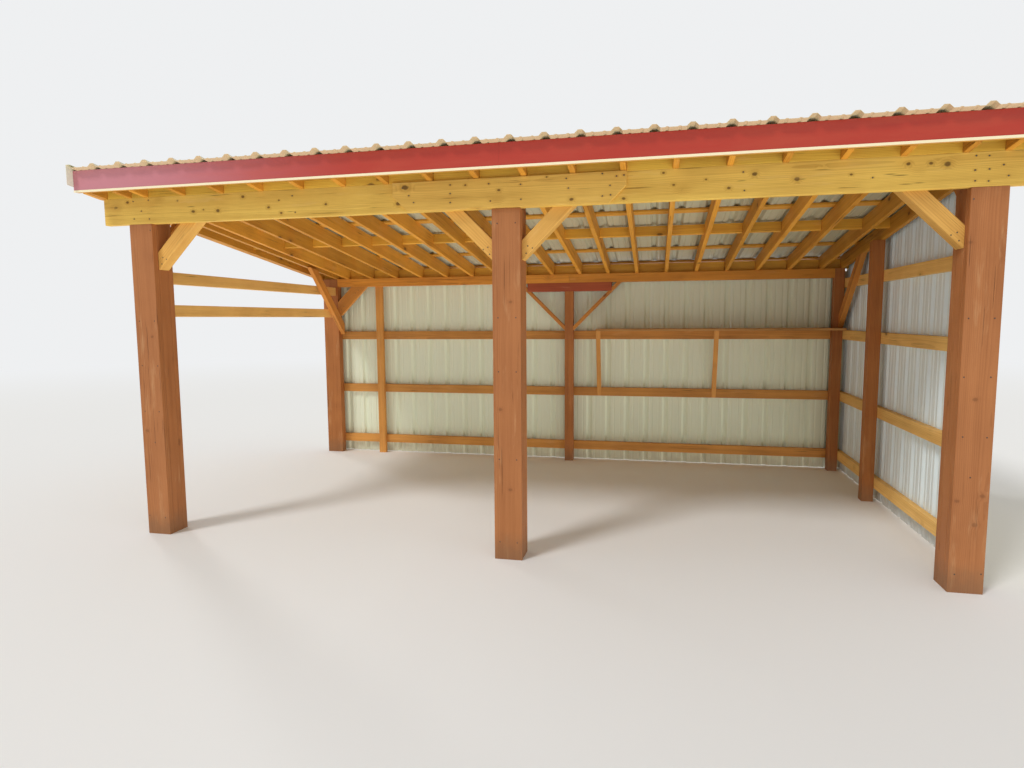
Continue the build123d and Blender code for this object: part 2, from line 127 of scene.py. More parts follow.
# %% Where nodes are added
class Recipe:
    """A material or a world, and the one way in which nodes are added to it."""

    def __init__(self, owner):
        owner.use_nodes = True
        self.owner = owner
        self.tree = owner.node_tree
        self.tree.nodes.clear()

    def join(self, value, socket):
        """Links a Tap to an input, or sets the input to a plain value. A colour gets its alpha of 1 here."""
        if isinstance(value, Tap):
            self.tree.links.new(value.socket, socket)
        elif isinstance(value, tuple) and len(value) == 3 and len(socket.default_value) == 4:
            socket.default_value = (*value, 1.0)
        else:
            socket.default_value = value

    def add(self, kind, settings=None, inputs=None, out=0):
        """Adds a node, settings first, and returns one of its outputs."""
        node = self.tree.nodes.new("ShaderNode" + kind)
        for key, value in (settings or {}).items():
            setattr(node, key, value)
        for key, value in (inputs or {}).items():
            self.join(value, node.inputs[key])
        return Tap(self, node.outputs[out]) if node.outputs else None

    def place(self):
        """Where the surface is, in the shed's own frame."""
        return self.add("NewGeometry", out="Position")

    def axis(self, vector, letter):
        """The X, Y or Z of a vector."""
        return self.add("SeparateXYZ", {}, {"Vector": vector}, letter)

    def length(self, vector):
        return self.add("VectorMath", {"operation": "LENGTH"}, {0: vector}, "Value")

    def distance(self, vector, point):
        return self.add("VectorMath", {"operation": "DISTANCE"}, {0: vector, 1: point}, "Value")

    def scaled(self, vector, factors):
        return self.add("VectorMath", {"operation": "MULTIPLY"}, {0: vector, 1: factors})

    def noise(self, vector, scale, detail, roughness=0.5):
        inputs = {"Vector": vector, "Scale": scale, "Detail": detail, "Roughness": roughness}
        return self.add("TexNoise", {}, inputs)

    def step(self, value, start, end):
        """0 before start and 1 past end, with a smooth step between; start may be the larger."""
        settings = {"interpolation_type": "SMOOTHSTEP", "clamp": True}
        return self.add("MapRange", settings, {"Value": value, "From Min": start, "From Max": end})

    def mix(self, first, second, factor, blend="MIX"):
        """Two colours mixed by a factor. Inputs 6 and 7 and output 2 are the Mix node's colour sockets."""
        settings = {"data_type": "RGBA", "blend_type": blend, "clamp_factor": True}
        return self.add("Mix", settings, {0: factor, 6: first, 7: second}, out=2)

    def finish(self, height, relief, **surface):
        """Closes a material with one Principled shader. relief is how deep the height pattern goes."""
        bump = {"Height": height, "Distance": relief, "Strength": 1.0}
        surface["Normal"] = self.add("Bump", {}, bump)
        inputs = {key.replace("_", " "): value for key, value in surface.items()}
        shader = self.add("BsdfPrincipled", {}, inputs)
        self.add("OutputMaterial", {}, {"Surface": shader})
        return self.owner


def new_material(name):
    """An empty recipe for a new material."""
    return Recipe(bpy.data.materials.new(name))


print("a Recipe adds nodes to a material or a world")

# %% Colours as plain numbers
def paint(red, green, blue):
    """A colour as a screen shows it, from 0 to 255, in the linear values of a shader (the sRGB curve)."""
    screen = (red / 255, green / 255, blue / 255)
    return tuple(value / 12.92 if value <= 0.04045 else ((value + 0.055) / 1.055) ** 2.4 for value in screen)


def darkened(colour, kept):
    """A colour that keeps only a share of its light."""
    return tuple(value * kept for value in colour)


def lightened(colour, toward, share):
    """A colour taken a share of the way toward another."""
    return tuple(value * (1 - share) + share * other for value, other in zip(colour, toward))


print("half of full white on a screen is", round(paint(128, 128, 128)[0], 3), "of its light")

# %% [markdown]
# ## Sawn timber
#
# Each board of the real shed is rough-sawn softwood under a see-through stain. Its figure is the tree's
# rings, cut by the saw, so a broad face shows long arches and a sawn end shows arcs. A flat pattern laid on
# each face would break at every corner, so we make the figure as the tree did, from a solid pattern that the
# faces cut. Each mesh will carry two things on its points. Grain is a place measured along and across its
# own board, so that the figure follows slanted braces as well as posts, and tone is one number for the whole
# board.

# %% Noise drawn out along the grain
wander_waves = (0.9, 5.0)
fibre_waves = (6.0, 420.0)
streak_waves = (0.7, 22.0)
thin_waves = (2.2, 14.0)
check_waves = (1.6, 95.0)
saw_waves = (190.0, 7.0)


def grain_noise(wood, grain, waves, detail, roughness=0.5):
    """Noise with so many waves to the metre along a board, and so many across it."""
    along, across = waves
    return wood.noise(wood.scaled(grain, (along, across, across)), 1.0, detail, roughness)


print("fibres", round(1000 / fibre_waves[1], 1), "mm apart, saw marks", round(1000 / saw_waves[0], 1), "mm")

# %% [markdown]
# ### Knots
#
# A knot is the foot of a branch: a dark core of hard wood, with bent grain round it like a halo. Most knots
# fall where they like, so they come from a Voronoi pattern, which has one middle in each of its cells and
# tells how far away the nearest is. A knot that is a landmark, and the black stain that a nail bleeds into
# the wood, need a place of their own. For those we measure the distance ourselves and take whichever is
# nearer.

# %% Knots, scattered and placed
knot_cell = 0.24
knot_radius = 0.017
knot_stretch = 0.55
mark_stretch = 0.72
knot_raggedness = 0.9


def knot_masks(wood, grain, place, amount, marks):
    """A mask for the knots' cores and one for their halos. Both are counted in radii from a knot's middle."""
    stretched = wood.scaled(grain, (knot_stretch, 1.0, 1.0))
    cells = {"feature": "F1", "distance": "EUCLIDEAN"}
    nearest = wood.add("TexVoronoi", cells, {"Vector": stretched, "Scale": 1 / knot_cell})
    radii_away = nearest * (knot_cell / knot_radius)
    if marks:
        on_front = wood.scaled(place, (mark_stretch, 0.0, 1.0))
        for x, height, radius in marks:
            away = wood.distance(on_front, (x * mark_stretch, 0.0, height))
            radii_away = radii_away.smaller(away * (1 / radius))
    wobble = wood.noise(grain, 34.0, 2.0)
    radii_away = radii_away + (wobble - 0.5) * knot_raggedness
    core = wood.step(radii_away, 1.15, 0.55) * amount
    halo = wood.step(radii_away, 2.9, 0.7) * amount
    return core, halo


print("scattered knots", round(2000 * knot_radius), "mm wide, in cells of", knot_cell, "m")

# %% [markdown]
# ### Rings
#
# A ring is soft, pale wood that hardens and darkens outward and then stops at once. The distance from the
# pith, counted in ring widths, has a fraction that does just that: it climbs from 0 to 1 and drops back. A
# ring pattern of perfect circles would look turned and not grown, so slow waves along the board and the
# halos of the knots push the distance in and out, and that draws the arches.

# %% Rings round the pith
ring_width = 0.0085
ring_wander = 0.034
ring_swell = 0.014


def late_wood(wood, grain, knot_halo):
    """0 in the soft part of a ring and 1 in its hard part."""
    wander = grain_noise(wood, grain, wander_waves, 2.0)
    from_pith = wood.length(wood.scaled(grain, (0.0, 1.0, 1.0)))
    radius = from_pith + (wander - 0.5) * ring_wander + knot_halo * ring_swell
    return wood.step((radius * (1 / ring_width)).fraction(), 0.35, 0.95)


print("rings", 1000 * ring_width, "mm wide")

# %% [markdown]
# ### Uneven stain, splits and smears
#
# Two boards from one pot of stain never match, and the stain lies thin in pale patches where the wood drank
# less. We shade each whole board by its tone and then mix in the pale patches. As the wood dries it splits
# into checks, hairlines that run with the grain, and we let them come only here and there. The few long dark
# smears are landmarks again, so each has a place of its own.

# %% What stain and weather add
bare_wood = paint(232, 196, 146)
bare_share = 0.45
smear_stretch = 0.10


def uneven_stain(wood, grain, tone, tone_spread, colour, stain):
    """Board to board the stain took a little more or less, and it lies thin in pale patches."""
    shade = (tone - 0.5) * (2 * tone_spread) + 1.0
    grey = wood.add("CombineColor", {}, {"Red": shade, "Green": shade, "Blue": shade})
    colour = wood.mix(colour, grey, 1.0, "MULTIPLY")
    thin = wood.step(grain_noise(wood, grain, thin_waves, 4.0, 0.65), 0.56, 0.78)
    return wood.mix(colour, lightened(stain, bare_wood, bare_share), thin * 0.45)


def checks(wood, grain, cloud):
    """1 in a hairline split along the grain. Splits come only where a slow pattern lets them."""
    split = grain_noise(wood, grain, check_waves, 2.0)
    return wood.step(split, 0.335, 0.30) * wood.step(cloud, 0.42, 0.62)


def smeared(wood, place, fibre, colour, smear_colour, smears):
    """Long dark smears on the front, frayed along the fibres."""
    drawn_out = wood.scaled(place, (smear_stretch, 0.0, 1.0))
    for x, height, half_width in smears:
        away = wood.distance(drawn_out, (x * smear_stretch, 0.0, height))
        smear = wood.step(away * (1 / half_width) + (fibre - 0.5) * 1.4, 1.3, 0.2)
        colour = wood.mix(colour, smear_colour, smear * 0.7)
    return colour


print("checks about", round(1000 / check_waves[1]), "mm apart")

# %% [markdown]
# ### Splashed earth
#
# Rain throws earth against the foot of whatever stands on the ground. It reaches about as high everywhere,
# but its edge is ragged. A plain blend by height would leave a straight line, so noise moves the height up
# and down before the step. The steel walls will use the same mask.

# %% Earth splashed on a foot
timber_earth = paint(112, 88, 64)


def splash(recipe, place, pattern, raggedness, top, bottom):
    """0 above top and 1 at bottom, with an edge that a noise pattern makes ragged."""
    height = recipe.axis(place, "Z")
    return recipe.step(height + (pattern - 0.5) * raggedness, top, bottom)


print("splash mask ready")

# %% [markdown]
# ### The whole finish
#
# Now the pieces come together in the order in which they came about on the real board: rings, fibres and
# streaks first, then knots, stain, splits, and last what the weather brought. The fibres, the saw's marks
# across them and the splits also make the relief, so the light catches what the colour shows.

# %% The timber's material
sawn_relief = 0.0011


def timber(name, stain, dark, tone_spread, knots, soil=0.0, marks=(), smears=()):
    """Stained sawn timber. stain and dark are the colours of the soft and the hard part of a ring.

    tone_spread is how far boards differ, knots how strongly knots show, and soil how much earth is splashed.
    marks are knots and nail stains that have a place of their own, as X, height and radius.
    smears are long dark smears along the grain, as X, height and half their width.
    """
    wood = new_material(name)
    grain = wood.add("Attribute", {"attribute_name": "grain"}, out="Vector")
    tone = wood.add("Attribute", {"attribute_name": "tone"}, out="Fac")
    place = wood.place()

    knot_core, knot_halo = knot_masks(wood, grain, place, knots, marks)
    late = late_wood(wood, grain, knot_halo)
    fibre = grain_noise(wood, grain, fibre_waves, 3.0, 0.6)
    streak = grain_noise(wood, grain, streak_waves, 3.0, 0.6)
    cloud = wood.noise(grain, 2.4, 3.0)
    depth = late * 0.26 + (fibre - 0.5) * 0.7 + (streak - 0.5) * 0.9 + (cloud - 0.5) * 0.8 + 0.26

    knot_brown = darkened(dark, 0.3)
    colour = wood.mix(stain, dark, depth)
    colour = wood.mix(colour, dark, knot_halo * 0.45)
    colour = wood.mix(colour, knot_brown, knot_core * 0.92)
    colour = uneven_stain(wood, grain, tone, tone_spread, colour, stain)
    split = checks(wood, grain, cloud)
    colour = wood.mix(colour, knot_brown, split * 0.7)
    if soil:
        earth = splash(wood, place, wood.noise(grain, 16.0, 3.0), 0.16, 0.24, 0.02)
        colour = wood.mix(colour, timber_earth, earth * soil)
    if smears:
        colour = smeared(wood, place, fibre, colour, knot_brown, smears)

    saw = grain_noise(wood, grain, saw_waves, 2.0, 0.6)
    height = fibre * 0.5 + saw * 0.55 + late * 0.12 - split * 1.2 + knot_core * 0.3
    rough = 0.58 + (streak - 0.5) * 0.25 + split * 0.2
    return wood.finish(height, sawn_relief, Base_Color=colour, Roughness=rough, Specular_IOR_Level=0.35)


print("timber relief", 1000 * sawn_relief, "mm")

# %% [markdown]
# ## Knots and nails that can be pointed at
#
# Most knots fall where they like, but some are landmarks, such as the dark ones along the header, and so are
# the nails. A painted picture of the front could hold them, but a short list of places is easier to mend and
# stays sharp from close by. The same lists place the nail heads later, so on the header and the splice board
# each head sits in its own stain.

# %% Landmark knots, as X, height and radius
header_knots = [
    (-3.052, 2.674, 0.010), (-2.598, 2.667, 0.006), (-2.464, 2.582, 0.011), (-2.374, 2.590, 0.006),
    (-2.250, 2.579, 0.012), (-2.029, 2.671, 0.011), (-1.819, 2.584, 0.009), (-1.730, 2.632, 0.006),
    (-1.715, 2.539, 0.009), (-1.350, 2.586, 0.009), (-0.785, 2.566, 0.013), (0.800, 2.530, 0.010),
    (1.056, 2.681, 0.007), (1.121, 2.602, 0.008), (1.323, 2.626, 0.006), (1.464, 2.565, 0.010),
    (1.619, 2.644, 0.012), (1.871, 2.600, 0.013), (2.182, 2.611, 0.007), (2.499, 2.657, 0.010),
    (2.621, 2.653, 0.009), (2.710, 2.645, 0.015),
]
header_smears = [
    (-2.479, 2.618, 0.004), (-1.640, 2.545, 0.003), (1.540, 2.606, 0.003), (1.900, 2.598, 0.003),
    (2.400, 2.601, 0.004), (2.455, 2.592, 0.005), (2.490, 2.538, 0.004), (2.560, 2.542, 0.004),
]
splice_knots = [(-0.041, 2.620, 0.009), (0.457, 2.536, 0.011), (-0.280, 2.665, 0.006), (0.290, 2.690, 0.005)]
post_knots = [
    (2.857, 2.180, 0.010), (2.936, 1.231, 0.012), (3.009, 0.629, 0.014), (2.871, 0.591, 0.013),
    (2.976, 0.445, 0.014), (-2.900, 1.620, 0.011), (-3.000, 0.860, 0.013), (0.030, 1.860, 0.010),
    (-0.050, 1.100, 0.012), (0.020, 0.520, 0.011),
]
print("landmark knots:", len(header_knots) + len(splice_knots) + len(post_knots))

# %% Nails on the front, as X and height
header_nails = [
    (2.304, 2.586), (2.858, 2.601), (2.933, 2.603), (2.861, 2.539), (2.932, 2.534), (2.928, 2.680),
    (2.860, 2.684), (3.006, 2.624), (3.035, 2.560), (-2.86, 2.684), (-2.93, 2.603), (-2.86, 2.540),
    (-3.00, 2.680), (-3.00, 2.545), (-1.62, 2.660), (-1.60, 2.540), (1.55, 2.660), (1.56, 2.545),
]
splice_nails = [
    (-0.743, 2.667), (-0.696, 2.613), (-0.661, 2.564), (-0.389, 2.672), (-0.390, 2.613), (-0.391, 2.552),
    (-0.113, 2.666), (-0.102, 2.550), (0.110, 2.651), (0.112, 2.552), (0.422, 2.674), (0.437, 2.610),
    (0.662, 2.693), (0.755, 2.672), (0.803, 2.676), (0.713, 2.614), (0.717, 2.553), (0.663, 2.548),
]
right_post_nails = [
    (2.860, 2.433), (2.872, 1.725), (3.012, 1.725), (2.867, 1.367), (3.012, 1.369), (2.880, 0.997),
    (3.013, 0.997), (2.936, 0.744), (2.882, 0.120), (3.030, 0.132),
]
middle_post_heights = (2.40, 1.75, 1.37, 0.74, 0.13)
middle_post_columns = (-0.062, 0.066)
middle_post_nails = [(x, height) for height in middle_post_heights for x in middle_post_columns]
left_post_rise = 0.02
left_post_nails = [(-x, height + left_post_rise) for x, height in right_post_nails]
post_nails = right_post_nails + middle_post_nails + left_post_nails
nail_stain = 0.0048


def stains_round(nails):
    """Each nail as a small dark mark in the wood."""
    return [(x, height, nail_stain) for x, height in nails]


print("nails on the front:", len(header_nails) + len(splice_nails) + len(post_nails))

# %% [markdown]
# ## One finish for each kind of timber
#
# All of it is the same wood, but not the same stain: the header and the splice board are honey yellow, the
# roof timbers orange, the posts a redder brown, and the girts at the back duller. The girts at the sides are
# painted brighter, as painted light from the sun on them. One recipe with two colours and a few strengths
# covers them all, so they look like one family.

# %% Timber finishes
timber_finishes = {
    "post_timber": timber(
        "post stain", paint(184, 119, 69), paint(148, 88, 45),
        tone_spread=0.06, knots=0.4, soil=0.5, marks=post_knots,
    ),
    "header_timber": timber(
        "header pine", paint(246, 206, 98), paint(194, 144, 54),
        tone_spread=0.03, knots=1.0, marks=header_knots + stains_round(header_nails), smears=header_smears,
    ),
    "splice_timber": timber(
        "splice pine", paint(242, 198, 96), paint(190, 138, 54),
        tone_spread=0.03, knots=1.0, marks=splice_knots + stains_round(splice_nails),
    ),
    "brace_timber": timber(
        "knee brace pine", paint(238, 186, 96), paint(188, 130, 54), tone_spread=0.10, knots=0.8,
    ),
    "rear_post_timber": timber(
        "rear post stain", paint(190, 120, 60), paint(136, 76, 32), tone_spread=0.10, knots=0.7, soil=0.5,
    ),
    "beam_timber": timber(
        "beam stain", paint(228, 154, 56), paint(170, 102, 30), tone_spread=0.08, knots=0.9,
    ),
    "rear_brace_timber": timber(
        "rear brace stain", paint(214, 144, 62), paint(154, 92, 34), tone_spread=0.12, knots=0.7,
    ),
    "rafter_timber": timber(
        "rafter stain", paint(228, 162, 56), paint(168, 106, 28), tone_spread=0.12, knots=0.9,
    ),
    "blocking_timber": timber(
        "blocking stain", paint(240, 182, 66), paint(190, 124, 38), tone_spread=0.12, knots=0.9,
    ),
    "purlin_timber": timber(
        "purlin stain", paint(236, 174, 68), paint(178, 116, 34), tone_spread=0.10, knots=0.9,
    ),
    "fascia_timber": timber(
        "sub-fascia stain", paint(228, 172, 84), paint(168, 112, 44), tone_spread=0.08, knots=0.8,
    ),
    "girt_timber": timber(
        "girt stain", paint(218, 154, 74), paint(156, 98, 40), tone_spread=0.12, knots=0.9,
    ),
    "shelf_timber": timber(
        "shelf board", paint(210, 156, 90), paint(154, 104, 52), tone_spread=0.10, knots=0.8,
    ),
}
print("timber finishes:", len(timber_finishes))

# %% Nodes with a finish of their own
# The side girts get a brighter copy of the girt stain: painted light, as if the sun fell on them
painted_sunlit_girt = timber("girt pine painted sunlit", paint(248, 202, 118), paint(200, 148, 74), tone_spread=0.08, knots=0.9)
own_finishes = {
    "front_blocking": timber(
        "front blocking stain", paint(250, 208, 82), paint(206, 150, 44), tone_spread=0.16, knots=0.9,
    ),
    "rear_bolster": timber(
        "bolster red stain", paint(180, 88, 50), paint(132, 58, 30), tone_spread=0.06, knots=0.8,
    ),
    "left_girts": painted_sunlit_girt,
    "right_girts": painted_sunlit_girt,
}
print("nodes with their own finish:", len(own_finishes))

# %% [markdown]
# ## Boards with real edges
#
# A sawn board has no knife edge: its corners are rubbed soft, and that thin worn line is what catches the
# light. A shader could fake it, but then the exported mesh would stay sharp. So each timber node gets a copy
# with its corners taken off, which stands for the CAD node in the render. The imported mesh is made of
# triangles. Their diagonals would get in the bevel's way and pass for a board's longest edge, so we first
# join them back into flat faces.

# %% Triangles joined back into flat faces
weld_gap = 0.00002
flat_angle = math.radians(0.6)


def flat_faced(mesh):
    """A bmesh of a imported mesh, in which the triangles of each flat face are one face."""
    work = bmesh.new()
    work.from_mesh(mesh)
    bmesh.ops.remove_doubles(work, verts=work.verts, dist=weld_gap)
    bmesh.ops.dissolve_limit(
        work, angle_limit=flat_angle, verts=work.verts, edges=work.edges, use_dissolve_boundaries=False
    )
    for elements in (work.verts, work.edges, work.faces):
        elements.index_update()
    work.normal_update()
    return work


sample = flat_faced(nodes["rafters"].data)
print("rafters:", len(nodes["rafters"].data.polygons), "triangles are", len(sample.faces), "flat faces")
sample.free()

# %% [markdown]
# ### Which way the grain runs
#
# A node can hold many boards, such as all the rafters, and each has its own grain. The directions could be
# written down by hand, but the mesh already knows them. A piece that touches no other is one board, its
# longest edge is the way its grain runs, and its largest side is its broad face. Where two edges are as long
# as each other, the one with the lower number wins, so every run gives the same boards.

# %% Boards and their directions
# A face that leans less than this along a board is one of its sides, and not an end
side_lean = 0.3


def loose_pieces(work):
    """The vertices of a bmesh, one list for each piece that touches no other."""
    left = set(work.verts)
    while left:
        start = min(left, key=lambda vertex: vertex.index)
        piece, frontier = {start}, [start]
        while frontier:
            vertex = frontier.pop()
            for edge in vertex.link_edges:
                other = edge.other_vert(vertex)
                if other not in piece:
                    piece.add(other)
                    frontier.append(other)
        left -= piece
        yield sorted(piece, key=lambda vertex: vertex.index)


def board_axes(piece):
    """Three directions for a board: along its longest edge, across its broad face, and through it."""
    edges = sorted({edge for vertex in piece for edge in vertex.link_edges}, key=lambda edge: edge.index)
    faces = sorted({face for vertex in piece for face in vertex.link_faces}, key=lambda face: face.index)
    longest = max(edges, key=lambda edge: round(edge.calc_length(), 5))
    along = (longest.verts[1].co - longest.verts[0].co).normalized()
    sides = [face for face in faces if abs(face.normal.dot(along)) < side_lean]
    broad = max(sides, key=lambda face: round(face.calc_area(), 6))
    through = (broad.normal - along * broad.normal.dot(along)).normalized()
    return along, through.cross(along), through


sample = flat_faced(nodes["front_left_brace"].data)
brace_along = board_axes(next(loose_pieces(sample)))[0]
print("the left knee brace stands at", round(math.degrees(math.asin(abs(brace_along.z)))), "degrees")
sample.free()

# %% [markdown]
# ### A place in a log for each board
#
# If every board were cut from the same place in the same log, they would all show the same arches. So each
# one gets its own place: anywhere along a very long log, and a little off its pith, which is where sawn
# boards come from. It also gets its tone here. Both are kept on the mesh's points, where the material reads
# them.

# %% Grain and tone on a board's points
along_log = (20, 900)
off_pith_across = (0.02, 0.12)
off_pith_through = (0.03, 0.09)


def place_in_log():
    """A random place along a log, on either side of its pith."""
    return Vector((
        random.uniform(*along_log),
        random.choice((-1, 1)) * random.uniform(*off_pith_across),
        random.choice((-1, 1)) * random.uniform(*off_pith_through),
    ))


def mark_boards(work):
    """Keeps grain and tone on the points of each board, and returns the number of boards."""
    grain_layer = work.verts.layers.float_vector.new("grain")
    tone_layer = work.verts.layers.float.new("tone")
    boards = list(loose_pieces(work))
    for piece in boards:
        axes = board_axes(piece)
        centre = sum((vertex.co for vertex in piece), Vector()) / len(piece)
        pith = place_in_log()
        tone = random.random()
        for vertex in piece:
            away = vertex.co - centre
            vertex[grain_layer] = Vector([away.dot(axis) for axis in axes]) + pith
            vertex[tone_layer] = tone
    return len(boards)


print("boards lie up to", 1000 * off_pith_across[1], "mm off the pith")

# %% [markdown]
# ### Soft corners
#
# The bevel takes the sharp edges only, so a flat face stays one face. Two segments make a rubbed corner,
# where one would make a planed one. Each copy rides on the shed's one body, hides the CAD node that it
# stands for and takes its finish from that node's material slot, unless it has a finish of its own.

# %% Dress every board
arris = 0.0035
arris_segments = 2
arris_profile = 0.6
sharp_angle = math.radians(12)
slot_of = {entry["node"]: entry["material_slot"] for entry in frame["record"]["subparts"]}


def soften(work):
    """Rubs the sharp corners of every board soft."""
    sharp = [edge for edge in work.edges if edge.calc_face_angle(0) > sharp_angle]
    bmesh.ops.bevel(
        work, geom=sharp, offset=arris, segments=arris_segments, profile=arris_profile, affect="EDGES",
        offset_type="OFFSET", clamp_overlap=True,
    )


def new_piece(name, work, material):
    """Turns a bmesh into an object with one material."""
    mesh = bpy.data.meshes.new(name)
    work.to_mesh(mesh)
    work.free()
    mesh.materials.append(material)
    piece = bpy.data.objects.new(name, mesh)
    bpy.context.scene.collection.objects.link(piece)
    return piece


def dress_timber(node):
    """Puts a copy with soft corners and grain in a timber node's place, and returns its number of boards."""
    work = flat_faced(nodes[node].data)
    board_count = mark_boards(work)
    soften(work)
    piece = new_piece(node + "_board", work, own_finishes.get(node) or timber_finishes[slot_of[node]])
    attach(piece, "root")
    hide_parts(node)
    return board_count


timber_nodes = [node for node in sorted(nodes) if slot_of[node] in timber_finishes]
board_count = sum(dress_timber(node) for node in timber_nodes)
print("timber nodes:", len(timber_nodes), "boards:", board_count)

# %% [markdown]
# ## Painted steel
#
# The roof and walls are thin ribbed steel, cream outside with a pale backing coat inside. Baked paint is
# smooth, but sheets on a shed are never clean: rain leaves faint streaks down them and earth along their
# feet, and the inside stays cleaner. One sheet has both coats. We could split its mesh in two, but a CAD
# mesh is never changed, so the shader tells inside from outside by which way the surface faces.

# %% Ribbed sheets
dust = paint(132, 122, 98)
painted_lit_drip_tan = paint(218, 198, 156)
sheet_earth = paint(140, 116, 86)
side_blur = 0.02
drip_blur = 0.02
sheet_relief = 0.0002


def sheet_coats(steel, place, outside, inside, outward, drip):
    """The colour of the coat that a face shows, and a mask for the side that is out in the weather."""
    face_normal = steel.add("NewGeometry", out="True Normal")
    facing = steel.add("VectorMath", {"operation": "DOT_PRODUCT"}, {0: face_normal, 1: outward}, "Value")
    if drip is not None:
        # Painted light: out past the fascia the underside is painted a lighter tan, as if lit by bright
        # ground below
        inside = steel.mix(inside, painted_lit_drip_tan, steel.step(steel.axis(place, "Y"), drip + drip_blur, drip))
    weather_side = steel.step(facing, -side_blur, side_blur)
    return steel.mix(inside, outside, weather_side), weather_side


def sheet_steel(name, outside, inside, outward, rain_waves, drip=None):
    """Painted ribbed sheet. outward points out of the shed.

    rain_waves are waves to the metre along X, Y and Z, few of them the way that rain runs.
    drip is the Y ahead of which the underside hangs out in the open, painted a lighter tan as painted light.
    """
    steel = new_material(name)
    place = steel.place()
    colour, weather_side = sheet_coats(steel, place, outside, inside, outward, drip)
    cloud = steel.noise(place, 1.4, 3.0, 0.6)
    streak = steel.noise(steel.scaled(place, rain_waves), 1.0, 1.0, 0.4)
    dirt = steel.step(streak, 0.50, 0.80) * 0.10 + steel.step(cloud, 0.5, 0.85) * 0.12
    dirt = dirt * (weather_side * 0.75 + 0.25)
    colour = steel.mix(colour, dust, dirt)
    earth = splash(steel, place, steel.noise(place, 7.0, 4.0, 0.65), 0.34, 0.30, 0.0)
    colour = steel.mix(colour, sheet_earth, earth * 0.42)
    speck = steel.noise(place, 95.0, 2.0)
    rough = 0.34 + (cloud - 0.5) * 0.18 + dirt * 0.4 + earth * 0.25
    return steel.finish(speck, sheet_relief, Base_Color=colour, Roughness=rough, Specular_IOR_Level=0.5)


print("sheet paint's relief", 1000 * sheet_relief, "mm")

# %% [markdown]
# ### The fascia
#
# The fascia trim is barn red, with a painted reflection of pale sky that turns it pink toward its left end.
# Its lower hem is folded outward, so a thin line of the cream coat on the steel's back shows along it. That
# line could be a piece of its own, but the hem stands ahead of the trim's face, so a step in depth is enough
# to colour it.

# %% Barn-red trim
# The pink of a pale sky reflected in the red paint, painted into the trim's colour toward its left end
painted_sky_reflection_pink = paint(206, 152, 166)
reflection_start = -0.9
reflection_full = -3.1
hem_blur = 0.0002
trim_relief = 0.0018


def fascia_steel(name, red, faded_red, hem_cream, hem_line):
    """Red trim, with a cream hem ahead of the Y of hem_line."""
    steel = new_material(name)
    place = steel.place()
    cloud = steel.noise(steel.scaled(place, (1.0, 6.0, 6.0)), 1.6, 4.0, 0.6)
    scuff = steel.noise(steel.scaled(place, (3.0, 30.0, 60.0)), 1.0, 4.0, 0.7)
    colour = steel.mix(red, faded_red, steel.step(cloud, 0.40, 0.75) * 0.45)
    colour = steel.mix(colour, darkened(red, 0.6), steel.step(scuff, 0.64, 0.78) * 0.35)
    # Painted reflection: toward the left end the red is mixed toward the pink of the sky that it reflects
    reflection_mask = steel.step(steel.axis(place, "X") + (cloud - 0.5) * 0.8, reflection_start, reflection_full)
    colour = steel.mix(colour, painted_sky_reflection_pink, reflection_mask * 0.62)
    hem = steel.step(steel.axis(place, "Y"), hem_line + hem_blur, hem_line - hem_blur)
    colour = steel.mix(colour, hem_cream, hem)
    wave = steel.noise(steel.scaled(place, (2.0, 1.0, 7.0)), 1.0, 2.0)
    rough = 0.30 + (cloud - 0.5) * 0.14
    return steel.finish(wave, trim_relief, Base_Color=colour, Roughness=rough, Specular_IOR_Level=0.5)


# The printed range is where the painted sky reflection grows
print("a painted sky reflection turns the red pink from x =", reflection_start, "to x =", reflection_full)

# %% Steel finishes
cream = paint(228, 218, 186)
edge_cream = paint(248, 236, 198)
rake_white = paint(236, 238, 220)
back_backing = paint(230, 236, 210)
# The end wall's inside gets a brighter, bluer copy of the backing coat than the back wall: painted light from
# sun and sky
end_backing_painted_lit = paint(232, 244, 246)
roof_backing = paint(188, 187, 160)
barn_red = paint(176, 50, 32)
faded_red = paint(184, 72, 48)
rain_on_roof = (9.0, 0.35, 0.35)
rain_on_wall = (9.0, 9.0, 0.35)
hem_ahead = 0.1934
drip_ahead = 0.19
hem_line = front_face - hem_ahead
drip_line = front_face - drip_ahead
out_of_roof = (0.0, 0.12, 1.0)
out_of_left_rake = (-1.0, 0.0, 0.3)
out_of_right_rake = (1.0, 0.0, 0.3)
out_of_corner = (1.0, 1.0, 0.0)
backward = (0.0, 1.0, 0.0)
rightward = (1.0, 0.0, 0.0)
steel_finishes = {
    "roof_sheets": sheet_steel("roof sheet paint", cream, roof_backing, out_of_roof, rain_on_roof, drip_line),
    "back_wall_sheets": sheet_steel("back wall paint", cream, back_backing, backward, rain_on_wall),
    "right_wall_sheets": sheet_steel("end wall paint", cream, end_backing_painted_lit, rightward, rain_on_wall),
    "fascia_trim": fascia_steel("fascia barn red", barn_red, faded_red, edge_cream, hem_line),
    "rake_trim_left": sheet_steel("left rake paint", cream, rake_white, out_of_left_rake, rain_on_roof),
    "rake_trim_right": sheet_steel("right rake paint", cream, rake_white, out_of_right_rake, rain_on_roof),
    "corner_trim": sheet_steel("corner paint", cream, cream, out_of_corner, rain_on_wall),
}
for node, material in steel_finishes.items():
    nodes[node].data.materials.clear()
    nodes[node].data.materials.append(material)
print("steel finishes:", len(steel_finishes))

# %% [markdown]
# ## Nails and screws
#
# Small, but they say how the shed is held together: nails through the header into the posts, a pattern of
# them over the splice, and rows of screws with washers that hold the steel down beside its ribs. A plain
# cylinder would show a hard rim, so each head is turned on a lathe from a short profile of radius and
# height. All the heads of one kind are one mesh, because hundreds of objects would be slow and hard to keep
# apart.

